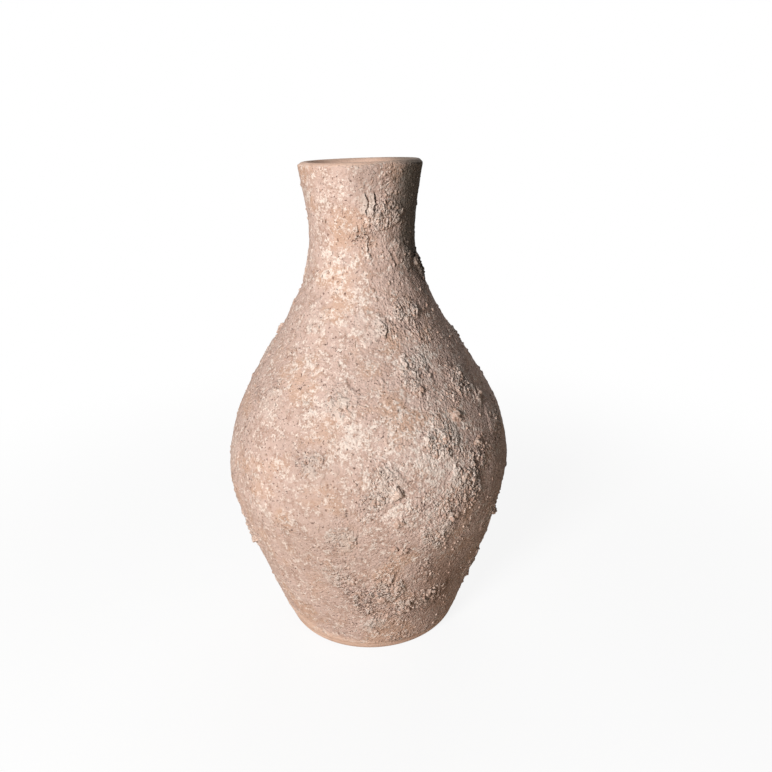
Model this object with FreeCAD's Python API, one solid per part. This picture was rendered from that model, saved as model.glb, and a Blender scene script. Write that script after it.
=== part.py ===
import FreeCAD, Part
import math
import os

# Greek pithos: a hand-built earthen jar with a round belly, a drawn-in neck and a flared mouth.
# It is built as a potter builds it: a slab, belts of clay luted together with slip, then a crust.
# Lengths are in millimetres. The axis is +Z, and the origin is the middle of the foot, on the floor.
# Every outline is drawn in the XZ plane and turned about the axis.

# Levels of the bare clay
belly_height = 151.0        # floor to the widest ring
shoulder_rise = 195.0       # widest ring to the narrowest ring of the neck
mouth_rise = 54.0           # narrowest ring to the crown of the lip

# Radii of the bare clay
foot_radius = 76.2          # where the rounded foot edge runs into the wall
belly_radius = 117.5
neck_radius = 39.5
mouth_flare = 7.5           # the lip stands out past the neck by this
foot_edge_round = 10.0

# Thickness of the clay
base_thickness = 9.0
foot_wall = 7.0
belly_wall = 6.0
neck_wall = 5.5
lip_wall = 7.0
corner_coil_radius = 6.0    # coil pressed into the corner between the slab and the wall

# Course of the wall: leans are run per rise, and handles are shares of the rise that a curve spans
foot_lean_share = 0.36
lip_lean_share = 0.12
foot_handle_share = 0.50
belly_under_handle_share = 0.12
belly_over_handle_share = 0.46
neck_under_handle_share = 0.40
neck_over_handle_share = 0.37
lip_handle_share = 0.17

# Joints between the belts
slip_thickness = 0.8
bevel_share = 0.4           # extra slant of a scored joint, as run per rise
lip_roll_height = 18.0      # crown of the lip down to its joint
low_joint_shares = (0.28, 0.64, 1.0)     # of the rise from the slab to the widest ring
high_joint_shares = (0.28, 0.57, 0.86)   # of the rise from the widest ring to the neck
belt_names = ("foot_belt", "lower_belt", "belly_belt", "upper_belt",
              "shoulder_belt", "collar_belt", "neck_belt", "lip_roll")
slip_names = ("base_slip", "foot_slip", "lower_slip", "belly_slip",
              "upper_slip", "shoulder_slip", "collar_slip", "neck_slip")

# Rough coat of clay and grit over the outside
coat_thickness = 2.0
coat_hem_thickness = 0.8    # it thins towards the foot
coat_top_thickness = 0.8    # and towards the lip
hem_height = 14.0           # bare clay shows below this
coat_top_gap = 1.0          # it stops this far below the middle of the lip

# Dabs of thicker crust: irregular plates pressed on the coat, as shares of the belly's radius
dab_standout = 1.0
dab_seat_gap = 0.2          # bedding under a dab, so that its curved seat doesn't bite the coat
dab_reach_share = 0.145     # middle to the furthest corner
dab_tall_share = 1.1
dab_short_share = 0.80      # the nearest corner, of the furthest
dab_corner_count = 8
# The dabs on the front: share of a turn from the front, share of the height, share of full size
front_dab_shares = (
    (0.072, 0.910, 0.76), (0.131, 0.828, 0.64), (0.011, 0.710, 0.85), (0.100, 0.730, 0.72),
    (-0.106, 0.720, 0.75), (0.078, 0.630, 0.92), (0.156, 0.595, 0.88), (-0.033, 0.595, 0.85),
    (-0.133, 0.565, 0.92), (0.092, 0.520, 0.90), (0.194, 0.500, 0.95), (0.019, 0.455, 0.95),
    (0.111, 0.427, 0.98), (-0.056, 0.485, 0.72), (-0.194, 0.445, 1.05), (0.078, 0.335, 0.95),
    (-0.025, 0.350, 0.82), (-0.122, 0.365, 0.92), (0.172, 0.300, 1.00), (-0.172, 0.265, 0.95),
    (-0.039, 0.250, 0.82), (0.022, 0.205, 0.90), (0.089, 0.160, 0.88), (0.172, 0.170, 0.92),
    (-0.106, 0.150, 0.82), (0.006, 0.092, 0.78), (0.239, 0.795, 0.58), (-0.083, 0.825, 0.60),
    (0.244, 0.375, 0.95), (-0.244, 0.625, 0.90), (0.239, 0.655, 0.90), (-0.239, 0.150, 0.90))
# The dabs round the back climb by steps, a golden turn apart
back_dab_count = 22
back_dab_turn_shares = (0.29, 0.43)      # start and span
back_dab_height_shares = (0.10, 0.80)    # lowest and highest
back_dab_size_shares = (0.70, 0.30, 3)   # smallest, spread, and steps that set the size
golden_turn_share = 0.618

# Clods stuck to the coat: full length and width of an egg, and how far it stands out
clod_length = 13.0
clod_width = 9.0
clod_standout = 3.0
# The clods on the front: share of a turn from the front, share of the height, share of full size
front_clod_shares = (
    (0.032, 0.440, 1.00), (0.094, 0.368, 0.95), (0.036, 0.372, 0.60), (0.038, 0.315, 0.85),
    (-0.017, 0.342, 0.60), (-0.021, 0.235, 0.75), (0.030, 0.207, 1.15), (0.000, 0.172, 1.00),
    (0.046, 0.132, 1.10), (0.083, 0.174, 0.75), (0.006, 0.072, 0.70), (0.181, 0.309, 1.10),
    (0.169, 0.203, 0.90), (0.185, 0.127, 0.95), (-0.185, 0.302, 0.65), (-0.169, 0.250, 1.20),
    (0.120, 0.548, 0.90), (0.176, 0.554, 1.05), (0.139, 0.490, 0.80), (0.088, 0.520, 0.70),
    (0.114, 0.445, 0.85), (0.214, 0.815, 0.80), (-0.022, 0.583, 0.60), (0.078, 0.604, 0.65))
# The clods round the back climb as the dabs there do
back_clod_count = 26
back_clod_turn_shares = (0.27, 0.48)
back_clod_height_shares = (0.07, 0.78)
back_clod_size_shares = (0.60, 0.50, 2)

# Working allowances
cut_overrun = 30.0          # how far a cutting shape reaches past the wall
slope_probe = 1.0           # half of the rise over which the lean of the wall is measured

# Sizes worked out from the above
neck_height = belly_height + shoulder_rise
height = neck_height + mouth_rise
mouth_radius = neck_radius + mouth_flare
lip_radius = lip_wall / 2
lip_middle = height - lip_radius
foot_lean_angle = math.atan(foot_lean_share)
foot_edge_level = foot_edge_round * (1 - math.sin(foot_lean_angle))
reach = belly_radius + cut_overrun

# Directions
middle = FreeCAD.Vector(0, 0, 0)
outward = FreeCAD.Vector(1, 0, 0)
sideways = FreeCAD.Vector(0, 1, 0)
upward = FreeCAD.Vector(0, 0, 1)


def point(radius, level):
    """A point of an outline, at a radius from the axis and a level above the floor."""
    return FreeCAD.Vector(radius, 0, level)


def line(start, end):
    return Part.makeLine(start, end)


def curve(poles):
    """A smooth curve that leaves its first point and meets its last along the handles."""
    bezier = Part.BezierCurve()
    bezier.setPoles(poles)
    return bezier.toShape()


def face(edges):
    """A flat face inside a closed ring of edges."""
    return Part.Face(Part.Wire(Part.__sortEdges__(edges)))


def polygon(corners):
    return Part.Face(Part.makePolygon(corners + corners[:1]))


def level_band(low, high):
    """A rectangle from the axis to past the belly, between two levels."""
    return polygon([point(0, low), point(reach, low), point(reach, high), point(0, high)])


def turn(outline):
    """The solid that a flat outline sweeps in one full turn about the axis."""
    solid = outline.Faces[0].revolve(middle, upward, 360)
    if solid.Volume < 0:
        solid.reverse()
    return solid


def wall_curves(foot, belly, neck, mouth, start_level):
    """The three curves of one side of the wall, from a level at the foot to the middle of the lip."""
    lower_rise = belly_height - start_level
    flare_rise = lip_middle - neck_height
    foot_handle = lower_rise * foot_handle_share
    lip_handle = flare_rise * lip_handle_share
    lower = curve([point(foot, start_level),
                   point(foot + foot_handle * foot_lean_share, start_level + foot_handle),
                   point(belly, belly_height - lower_rise * belly_under_handle_share),
                   point(belly, belly_height)])
    upper = curve([point(belly, belly_height),
                   point(belly, belly_height + shoulder_rise * belly_over_handle_share),
                   point(neck, neck_height - shoulder_rise * neck_under_handle_share),
                   point(neck, neck_height)])
    flare = curve([point(neck, neck_height),
                   point(neck, neck_height + flare_rise * neck_over_handle_share),
                   point(mouth - lip_handle * lip_lean_share, lip_middle - lip_handle),
                   point(mouth, lip_middle)])
    return [lower, upper, flare]


def filled_outline(curves, foot, mouth, start_level):
    """Everything between the axis and one side of the wall, up to the middle of the lip."""
    closing = [line(point(0, start_level), point(foot, start_level)),
               line(point(mouth, lip_middle), point(0, lip_middle)),
               line(point(0, lip_middle), point(0, start_level))]
    return face(curves + closing)


def coated_region(standout):
    """Everything between the axis and a surface that stands out from the coat."""
    foot = foot_radius + coat_hem_thickness + standout
    mouth = mouth_radius + coat_top_thickness + standout
    curves = wall_curves(foot, belly_radius + coat_thickness + standout,
                         neck_radius + coat_thickness + standout, mouth, foot_edge_level)
    return filled_outline(curves, foot, mouth, foot_edge_level)


def clay_outline():
    """Half of the whole jar in section: slab, wall and lip in one piece."""
    centre_radius = foot_radius - foot_edge_round * math.cos(foot_lean_angle)
    half_angle = (math.pi / 2 + foot_lean_angle) / 2
    edge_middle = point(centre_radius + foot_edge_round * math.cos(half_angle),
                        foot_edge_round * (1 - math.sin(half_angle)))
    foot_edge = Part.Arc(point(centre_radius, 0), edge_middle, point(foot_radius, foot_edge_level))
    lip_edge = Part.Arc(point(mouth_radius, lip_middle), point(mouth_radius - lip_radius, height),
                        point(mouth_radius - lip_wall, lip_middle))
    closing = [line(point(0, 0), point(centre_radius, 0)),
               line(point(inside_foot, base_thickness), point(0, base_thickness)),
               line(point(0, base_thickness), point(0, 0))]
    return face(outside_curves + inside_curves + closing + [foot_edge.toShape(), lip_edge.toShape()])


def radius_at(level):
    """Radius of the bare clay at a level."""
    across = line(point(0, level), point(reach, level))
    return clay_region.common(across).Length


def joint_corners(level):
    """The four corners of a slip layer that crosses the wall square to it, and slants a little more."""
    outside = point(radius_at(level), level)
    lean = (radius_at(level + slope_probe) - radius_at(level - slope_probe)) / (2 * slope_probe)
    along = point(lean, 1).normalize()
    inward = point(-1, lean + bevel_share).normalize()
    outer = outside - inward * cut_overrun
    inner = outside + inward * (belly_wall + cut_overrun)
    rise = along * slip_thickness
    return outer, inner, outer + rise, inner + rise


def base_corners():
    """The four corners of the flat slip layer on the slab."""
    low = base_thickness
    high = base_thickness + slip_thickness
    return point(reach, low), point(0, low), point(reach, high), point(0, high)


def wall_joints():
    """The slip layers from the slab up, each as its four corners."""
    levels = [base_thickness + share * (belly_height - base_thickness) for share in low_joint_shares]
    levels += [belly_height + share * shoulder_rise for share in high_joint_shares]
    levels.append(height - lip_roll_height)
    return [base_corners()] + [joint_corners(level) for level in levels]


def make_base_slab():
    return turn(clay_section.common(level_band(0, base_thickness)))


def make_slip(joint):
    """One layer of slip between two belts, as thick as its two slanting sides are apart."""
    outer_low, inner_low, outer_high, inner_high = joint
    return turn(clay_section.common(polygon([inner_low, outer_low, outer_high, inner_high])))


def make_belt(joint_below, joint_above):
    """One belt of the wall, between the slip under it and the slip over it."""
    corners = [joint_below[3], joint_below[2], joint_above[0], joint_above[1]]
    return turn(clay_section.common(polygon(corners)))


def make_lip_roll(joint_below):
    """The last belt of the wall, from its slip up over the round lip."""
    top = height + cut_overrun
    corners = [joint_below[3], joint_below[2], point(reach, top), point(0, top)]
    return turn(clay_section.common(polygon(corners)))


def make_corner_coil():
    """A coil pressed into the inside corner, seated on the slab and on the wall."""
    cavity = filled_outline(inside_curves, inside_foot, mouth_radius - lip_wall, base_thickness)
    corner = point(inside_foot, base_thickness)
    ring = Part.makeCircle(corner_coil_radius, corner, sideways)
    return turn(Part.Face(Part.Wire([ring])).common(cavity))


def make_rough_coat():
    """The crust over the clay, thinner at its hem and under the lip."""
    top = lip_middle - coat_top_gap
    return turn(coat_region.cut(clay_region).common(level_band(hem_height, top)))


def make_egg(length, width):
    """A round egg about the Y axis, with its middle on the origin."""
    ellipse = Part.Ellipse(middle, length / 2, width / 2)
    half = Part.ArcOfEllipse(ellipse, 0, math.pi).toShape()
    closing = line(half.Vertexes[0].Point, half.Vertexes[1].Point)
    egg = face([half, closing]).revolve(middle, outward, 360)
    egg.rotate(middle, upward, 90)
    return egg


def make_clod_egg(turn_share, rise_share, size_share, tilt_share):
    """The egg of one clod, tilted in the wall's surface and sunk into the coat."""
    level = height * rise_share
    across = line(point(0, level), point(reach, level))
    seat_radius = coat_region.common(across).Length
    sunk = (clod_width / 2 - clod_standout) * size_share
    egg = make_egg(clod_length * size_share, clod_width * size_share)
    egg.rotate(middle, outward, 180 * tilt_share)
    egg.translate(point(seat_radius - sunk, level))
    # A share of zero faces the front, which is -Y
    egg.rotate(middle, upward, 360 * turn_share - 90)
    return egg


def climbing_shares(count, turns, heights, sizes):
    """Places round the back that climb, each a golden turn on, in the form of the front tables."""
    turn_start_share, turn_span_share = turns
    low_share, high_share = heights
    small_share, spread_share, size_steps = sizes
    places = []
    for index in range(count):
        step_share = (index * golden_turn_share) % 1
        rise_share = index / (count - 1)
        places.append((turn_start_share + turn_span_share * step_share,
                       low_share + (high_share - low_share) * rise_share,
                       small_share + spread_share * ((size_steps * step_share + rise_share) % 1)))
    return places


def make_clod_eggs():
    """The eggs of all the clods, with no two neighbours tilted alike."""
    places = front_clod_shares + tuple(climbing_shares(back_clod_count, back_clod_turn_shares,
                                                       back_clod_height_shares, back_clod_size_shares))
    eggs = []
    for index, (turn_share, rise_share, size_share) in enumerate(places):
        tilt_share = (index * golden_turn_share) % 1
        eggs.append(make_clod_egg(turn_share, rise_share, size_share, tilt_share))
    return eggs


def make_coat_clods(eggs):
    """All the clods, as separate solids: the part of each egg outside the coat."""
    coat_core = turn(coat_region)
    return Part.makeCompound([egg.cut(coat_core).Solids[0] for egg in eggs])


def make_dab(turn_share, rise_share, size_share, skew_share, dab_shell):
    """One dab: the part of a thin shell over the coat inside an irregular outline."""
    full_reach = belly_radius * dab_reach_share * size_share
    corners = []
    for index in range(dab_corner_count):
        angle = 2 * math.pi * (index + skew_share) / dab_corner_count
        uneven_share = (index * golden_turn_share + skew_share) % 1
        corner_reach = full_reach * (dab_short_share + (1 - dab_short_share) * uneven_share)
        level = height * rise_share + corner_reach * dab_tall_share * math.sin(angle)
        corners.append(FreeCAD.Vector(0, corner_reach * math.cos(angle), level))
    dab = dab_shell.common(polygon(corners).extrude(outward * reach))
    dab.rotate(middle, upward, 360 * turn_share - 90)
    return dab


def make_crust_dabs(eggs):
    """All the dabs, as separate solids, each with room left for the clods that sit in it."""
    places = front_dab_shares + tuple(climbing_shares(back_dab_count, back_dab_turn_shares,
                                                      back_dab_height_shares, back_dab_size_shares))
    top = lip_middle - coat_top_gap
    dab_shell = turn(dab_region.cut(dab_seat_region).common(level_band(hem_height, top)))
    dabs = []
    for index, (turn_share, rise_share, size_share) in enumerate(places):
        dab = make_dab(turn_share, rise_share, size_share, (index * golden_turn_share) % 1, dab_shell)
        for egg in eggs:
            if egg.BoundBox.intersect(dab.BoundBox):
                dab = dab.cut(egg)
        dabs.append(max(dab.Solids, key=lambda piece: piece.Volume))
    return Part.makeCompound(dabs)


def save(name, shape):
    """Write one node, and say what it measures."""
    box = shape.BoundBox
    print(f"{name}: {len(shape.Solids)} solids, {shape.Volume / 1000:.1f} cm3, "
          f"width {box.XLength:.1f}, level {box.ZMin:.1f} to {box.ZMax:.1f}")
    shape.exportStep(os.path.join("parts", name + ".step"))


inside_foot = foot_radius - foot_wall
outside_curves = wall_curves(foot_radius, belly_radius, neck_radius, mouth_radius, foot_edge_level)
inside_curves = wall_curves(inside_foot, belly_radius - belly_wall, neck_radius - neck_wall,
                            mouth_radius - lip_wall, base_thickness)
clay_section = clay_outline()
clay_region = filled_outline(outside_curves, foot_radius, mouth_radius, foot_edge_level)
coat_region = coated_region(0)
dab_seat_region = coated_region(dab_seat_gap)
dab_region = coated_region(dab_standout)

os.makedirs("parts", exist_ok=True)
joints = wall_joints()
save("base_slab", make_base_slab())
save("inside_corner_coil", make_corner_coil())
for slip_name, joint in zip(slip_names, joints):
    save(slip_name, make_slip(joint))
for belt_name, below, above in zip(belt_names, joints, joints[1:]):
    save(belt_name, make_belt(below, above))
save(belt_names[-1], make_lip_roll(joints[-1]))
save("rough_coat", make_rough_coat())
clod_eggs = make_clod_eggs()
save("coat_clods", make_coat_clods(clod_eggs))
save("crust_dabs", make_crust_dabs(clod_eggs))
print(f"height {height:.1f}, widest {2 * (belly_radius + coat_thickness + dab_standout):.1f}")
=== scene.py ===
# %% [markdown]
# A rustic pithos. The real jar is a slab, seven belts and a rolled lip of coarse clay, luted together
# with slip, smoothed at the lip and the foot, and then dabbed all over with a crust of clay, lime and
# grit.
# The jar's pieces arrive as a fixed frame at their real size. This lesson dresses that frame: each
# piece that shows gets a hand-formed mesh in the same place, and every piece gets a material.

# %% Load the frame
import itertools
import math
import bmesh
import bpy
import numpy as np
from mathutils import Matrix, Vector


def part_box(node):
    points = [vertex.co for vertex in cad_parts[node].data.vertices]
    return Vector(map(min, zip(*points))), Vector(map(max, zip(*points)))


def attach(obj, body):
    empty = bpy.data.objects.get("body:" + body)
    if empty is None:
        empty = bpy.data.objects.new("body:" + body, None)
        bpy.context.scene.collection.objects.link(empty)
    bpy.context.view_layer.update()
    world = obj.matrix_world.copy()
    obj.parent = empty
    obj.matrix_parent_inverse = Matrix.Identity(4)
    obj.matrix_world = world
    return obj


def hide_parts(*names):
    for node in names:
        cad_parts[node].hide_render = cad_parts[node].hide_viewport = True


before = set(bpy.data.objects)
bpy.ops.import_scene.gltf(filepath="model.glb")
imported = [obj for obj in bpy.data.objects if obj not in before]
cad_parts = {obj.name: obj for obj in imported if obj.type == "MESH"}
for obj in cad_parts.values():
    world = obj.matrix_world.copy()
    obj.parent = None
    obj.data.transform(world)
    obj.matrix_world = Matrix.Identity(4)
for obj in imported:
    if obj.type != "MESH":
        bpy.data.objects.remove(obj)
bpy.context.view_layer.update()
mm = 0.001

# %% [markdown]
# The camera comes first, because every later choice is judged through it. The photograph looks down
# on the jar a little, from close by: the foot is drawn smaller than the belly, and the mouth is a
# thin sliver. A 35 mm lens, 0.6 m away and just above the lip, gives that view. The photograph also
# leans by one degree, so the camera is turned by as much about its own line of sight.

# %% Camera
camera_place = (16.3 * mm, -595.0 * mm, 445.0 * mm)
camera_tilt_down = 0.3689
camera_lean = -0.0191
camera_lens = 35.0

camera_data = bpy.data.cameras.new("camera")
camera_data.lens = camera_lens
camera = bpy.data.objects.new("camera", camera_data)
bpy.context.scene.collection.objects.link(camera)
camera.matrix_world = (Matrix.Translation(camera_place)
                       @ Matrix.Rotation(math.pi / 2 - camera_tilt_down, 4, "X")
                       @ Matrix.Rotation(camera_lean, 4, "Z"))
bpy.context.scene.camera = camera
print("camera looks down by", round(math.degrees(camera_tilt_down), 1), "degrees")

# %% [markdown]
# A jar is a turned form, so one outline gives every skin of its wall. Three smooth curves meet at the
# widest ring and at the neck. The same function draws the bare clay, its inside and the crust, each
# with its own radii, as a potter would feel them between finger and thumb. Sampling the curves by
# their length, and not by height, keeps the mesh squares even where the shoulder turns in.

# %% Sizes of the wall
belly_height = 151.0 * mm
shoulder_rise = 195.0 * mm
mouth_rise = 54.0 * mm
neck_height = belly_height + shoulder_rise
height = neck_height + mouth_rise
foot_radius = 76.2 * mm
belly_radius = 117.5 * mm
neck_radius = 39.5 * mm
mouth_radius = 47.0 * mm
foot_edge_round = 10.0 * mm
base_thickness = 9.0 * mm
foot_wall = 7.0 * mm
belly_wall = 6.0 * mm
neck_wall = 5.5 * mm
lip_wall = 7.0 * mm
lip_radius = lip_wall / 2
lip_middle = height - lip_radius
coat_thickness = 2.0 * mm
coat_edge_thickness = 0.8 * mm
print("height and widest clay in mm:", round(height / mm, 1), round(2 * belly_radius / mm, 1))

# %% Outlines of the wall
foot_lean = 0.36
lip_lean = 0.12
foot_handle_share = 0.50
belly_low_share = 0.12
belly_high_share = 0.46
neck_low_share = 0.40
neck_high_share = 0.37
lip_handle_share = 0.17
foot_lean_angle = math.atan(foot_lean)
foot_edge_level = foot_edge_round * (1 - math.sin(foot_lean_angle))


def curve(start, leaving, arriving, end, count=160):
    """Points along a smooth curve with two handles, as rows of radius and level."""
    share = np.linspace(0, 1, count)[:, None]
    back = 1 - share
    poles = np.array([start, leaving, arriving, end])
    return (back ** 3 * poles[0] + 3 * back ** 2 * share * poles[1]
            + 3 * back * share ** 2 * poles[2] + share ** 3 * poles[3])


def wall_line(foot, belly, neck, mouth, start_level):
    """One skin of the wall, from a level at the foot to the middle of the lip."""
    low = belly_height - start_level
    flare = lip_middle - neck_height
    lower = curve((foot, start_level),
                  (foot + foot_handle_share * low * foot_lean, start_level + foot_handle_share * low),
                  (belly, belly_height - belly_low_share * low), (belly, belly_height))
    upper = curve((belly, belly_height), (belly, belly_height + belly_high_share * shoulder_rise),
                  (neck, neck_height - neck_low_share * shoulder_rise), (neck, neck_height))
    top = curve((neck, neck_height), (neck, neck_height + neck_high_share * flare),
                (mouth - lip_handle_share * flare * lip_lean, lip_middle - lip_handle_share * flare),
                (mouth, lip_middle))
    return np.vstack([lower, upper[1:], top[1:]])


def even(line, spacing):
    """The same line with points at even distances."""
    step = np.hypot(*np.diff(line, axis=0).T)
    along = np.concatenate([[0], np.cumsum(step)])
    wanted = np.linspace(0, along[-1], max(2, round(along[-1] / spacing) + 1))
    return np.column_stack([np.interp(wanted, along, values) for values in line.T])


clay_line = wall_line(foot_radius, belly_radius, neck_radius, mouth_radius, foot_edge_level)
inside_line = wall_line(foot_radius - foot_wall, belly_radius - belly_wall, neck_radius - neck_wall,
                        mouth_radius - lip_wall, base_thickness)
coat_line = wall_line(foot_radius + coat_edge_thickness, belly_radius + coat_thickness,
                      neck_radius + coat_thickness, mouth_radius + coat_edge_thickness, foot_edge_level)
coat_low, coat_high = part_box("rough_coat")
print("widest crust in mm, drawn and in the frame:",
      round(2 * coat_line[:, 0].max() / mm, 1), round((coat_high.x - coat_low.x) / mm, 1))

# %% [markdown]
# Everything rough on this jar comes from two kinds of noise, worked out on whole arrays of points.
# Smooth noise gives waves and, where it crosses zero, thin torn lines. Scattered noise gives crumbs:
# each cell of a lattice holds one centre with its own random share. Both read the point's place in
# space, so nothing shows where the turn of the jar closes, and a seed keeps each run the same.

# %% Noise
wave_gain = 1.6
far_away = 9.0
slope_seed = 1000
shift_seed = 2000


def smooth(value, low, high):
    """Zero below low, one above high, and a soft step between them."""
    share = np.clip((value - low) / (high - low), 0, 1)
    return share * share * (3 - 2 * share)


def shuffled(seed):
    return np.random.default_rng(seed).permutation(256)


def pick(order, cell):
    """The table entry that belongs to each lattice corner."""
    return order[(order[(order[cell[..., 0] & 255] + cell[..., 1]) & 255] + cell[..., 2]) & 255]


def waves(points, grain, seed):
    """Smooth noise from about -1 to 1, with lumps as wide as the grain."""
    order = shuffled(seed)
    slopes = np.random.default_rng(seed + slope_seed).normal(size=(256, 3))
    slopes /= np.linalg.norm(slopes, axis=1)[:, None]
    cell = np.floor(points / grain).astype(int)
    inside = points / grain - cell
    fade = inside ** 3 * (inside * (inside * 6 - 15) + 10)
    total = np.zeros(points.shape[:-1])
    for corner in itertools.product((0, 1), repeat=3):
        weight = np.prod(np.where(np.array(corner, bool), fade, 1 - fade), axis=-1)
        slope = slopes[pick(order, cell + corner)]
        total += weight * np.sum(slope * (inside - corner), axis=-1)
    return wave_gain * total


def crumbs(points, grain, seed):
    """Distance to the nearest scattered centre, in grains, and that centre's random share."""
    order = shuffled(seed)
    shifts = np.random.default_rng(seed + shift_seed).random((256, 3))
    cell = np.floor(points / grain).astype(int)
    inside = points / grain - cell
    nearest = np.full(points.shape[:-1], far_away)
    share = np.zeros(points.shape[:-1])
    for step in itertools.product((-1, 0, 1), repeat=3):
        entry = pick(order, cell + step)
        distance = np.linalg.norm(shifts[entry] + step - inside, axis=-1)
        closer = distance < nearest
        nearest = np.where(closer, distance, nearest)
        share = np.where(closer, entry / 255, share)
    return nearest, share


def layered(points, *layers):
    """Waves laid over each other, each with its height, its grain in millimetres and its seed."""
    return sum(high * waves(points, grain_mm * mm, seed) for high, grain_mm, seed in layers)


def wander(points, grain, first_seed):
    """Smooth noise in all three directions, to bend a space with."""
    return np.stack([waves(points, grain, first_seed + way) for way in range(3)], axis=-1)


sample = waves(np.random.default_rng(0).random((4000, 3)), 0.1, 1)
print("waves run from and to:", np.round([sample.min(), sample.max()], 2))

# %% [markdown]
# A skin of the jar is laid out as a grid: rows run up its outline, columns run round the jar, and the
# middle column faces the camera. The grid carries each point's own outward direction, because the crust
# grows square to the wall and not sideways.

# %% Lay a skin out as a grid
def places_round(radius, turn, level):
    """Points from their radius, their turn from the front and their level."""
    return np.stack([radius * np.sin(turn), -radius * np.cos(turn), level + 0 * turn], axis=-1)


def lengths_along(line):
    return np.concatenate([[0], np.cumsum(np.hypot(*np.diff(line, axis=0).T))])


def columns_round(count):
    """The turn of each column, with zero at the front."""
    return np.linspace(-math.pi, math.pi, count, endpoint=False)[None, :]


def skin(line, along, turn):
    """Points, outward directions and levels of a turned skin, at distances along its line."""
    lengths = lengths_along(line)
    run = np.gradient(line, axis=0)
    run /= np.hypot(run[:, 0], run[:, 1])[:, None]
    radius, level, flat, up = (np.interp(along, lengths, values) + 0 * turn
                               for values in (line[:, 0], line[:, 1], run[:, 1], -run[:, 0]))
    return places_round(radius, turn, level), places_round(flat, turn, up), level


def on_crust(turn_degrees, level_mm):
    """The point of the crust at a turn from the front and a level."""
    radius = np.interp(level_mm * mm, coat_line[:, 1], coat_line[:, 0])
    return places_round(radius, math.radians(turn_degrees), level_mm * mm)


def by_turn(turn, table):
    """A measure in millimetres that changes round the jar, from a list by degrees."""
    return np.interp(np.degrees(turn), *np.transpose(table)) * mm


print("the crust at the front, at half height, in mm:", np.round(on_crust(0, height / 2 / mm) / mm, 1))

# %% [markdown]
# Hands leave their own marks. Seen from the front, the wall of the jar bulges and draws in by a
# millimetre or two, and the lip dips at the back and the left. These marks are gentle, so each is a
# short list of measures by level, blended by how far a point faces left or right. The same shift moves
# the clay, the slip and the crust, so the pieces stay together.

# %% The hand-built lean of the jar
left_swell = ((0, 0.0), (60, 0.3), (93, 1.0), (124, 0.6), (153, 0.2), (185, -0.9), (217, -1.6),
              (252, -1.2), (272, -0.3), (288, 1.4), (303, -0.4), (330, 0.5), (400, 0.3))
right_swell = ((0, 0.0), (60, -0.8), (93, 0.9), (124, -1.2), (160, -0.4), (200, 0.2), (234, -1.3),
               (252, -0.8), (288, 0.7), (303, 1.1), (335, -0.8), (400, 0.0))
palm_waves = ((0.8, 75, 1), (0.4, 28, 2))
even_foot = 50.0 * mm
even_lip = (365.0 * mm, 392.0 * mm)
ring_height = 0.22
ring_step = 1.1 * mm
ring_sway = 3
ring_grain = 30.0 * mm
inside_swell = 0.45
inside_grain = 22.0 * mm
lip_tilt_start = 380.0 * mm
lip_rise_front = 1.7 * mm
lip_rise_right = 0.6 * mm


def hand_swell(points, turn, level):
    """How far the hand-built wall stands out past the turned one."""
    left = np.interp(level / mm, *np.transpose(left_swell)) * np.clip(-np.sin(turn), 0, 1) ** 2
    right = np.interp(level / mm, *np.transpose(right_swell)) * np.clip(np.sin(turn), 0, 1) ** 2
    free = smooth(level, 0, even_foot) * (1 - smooth(level, *even_lip))
    return (left + right + free * layered(points, *palm_waves)) * mm


def finger_marks(points, level):
    """How far the inside stands out past the turned one: finger rings and a soft unevenness."""
    rings = ring_height * np.sin(level / ring_step + ring_sway * waves(points, ring_grain, 3))
    return (rings + inside_swell * waves(points, inside_grain, 4)) * mm


def lip_lift(turn, level):
    """How far the lip is lifted towards the front and the right."""
    share = smooth(level, lip_tilt_start, lip_middle)
    return share * (lip_rise_front * np.cos(turn) + lip_rise_right * np.sin(turn))


def shift(points, turn, level, sideways):
    """The points moved out from the axis, and up as the lip is."""
    moved = points + sideways[..., None] * places_round(1, turn, 0)
    moved[..., 2] += lip_lift(turn, level)
    return moved


print("the lip at the front stands higher than at the back by mm:", round(2 * lip_rise_front / mm, 1))

# %% [markdown]
# The crust is the character of the jar. Over a thin wiped coat lie dabs of thicker crust, each about as
# wide as a palm's heel. Some are crumbly and some are smoothed flat, as the photograph shows. A dab has
# its turn in degrees, its level in millimetres, its size as a share of the largest reach, and how rough
# it is. Round the back the dabs climb the wall, each a golden turn on from the last.

# %% Dabs of crust
dab_reach = 17.0
dabs = (
    (26, 364, 0.76, 0.9), (47, 331, 0.64, 0.6), (4, 284, 0.85, 0.1), (36, 292, 0.72, 0.8),
    (-38, 288, 0.75, 0.0), (28, 252, 0.92, 0.7), (56, 238, 0.88, 0.8), (-12, 238, 0.85, 0.4),
    (-48, 226, 0.92, 0.0), (33, 208, 0.90, 0.9), (70, 200, 0.95, 0.5), (7, 182, 0.95, 0.7),
    (40, 171, 0.98, 1.0), (-20, 194, 0.72, 0.4), (-70, 178, 1.05, 0.2), (28, 134, 0.95, 0.7),
    (-9, 140, 0.82, 0.4), (-44, 146, 0.92, 0.1), (62, 120, 1.00, 0.6), (-62, 106, 0.95, 0.4),
    (-14, 100, 0.82, 0.4), (8, 82, 0.90, 1.0), (32, 64, 0.88, 0.9), (62, 68, 0.92, 0.5),
    (-38, 60, 0.82, 0.1), (2, 37, 0.78, 0.5), (86, 318, 0.58, 0.7), (-30, 330, 0.60, 0.0),
    (88, 150, 0.95, 0.5), (-88, 250, 0.90, 0.3), (86, 262, 0.90, 0.4), (-86, 60, 0.90, 0.3))
back_dabs = 22
golden_turn = 0.618


def round_the_back(count, first_turn, turn_span, first_level, level_span):
    """Turns and levels that climb the back, each a golden turn on, with the two shares they come from."""
    for index in range(count):
        around = (index * golden_turn) % 1
        climbed = index / (count - 1)
        yield first_turn + turn_span * around, first_level + level_span * climbed, around, climbed


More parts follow.
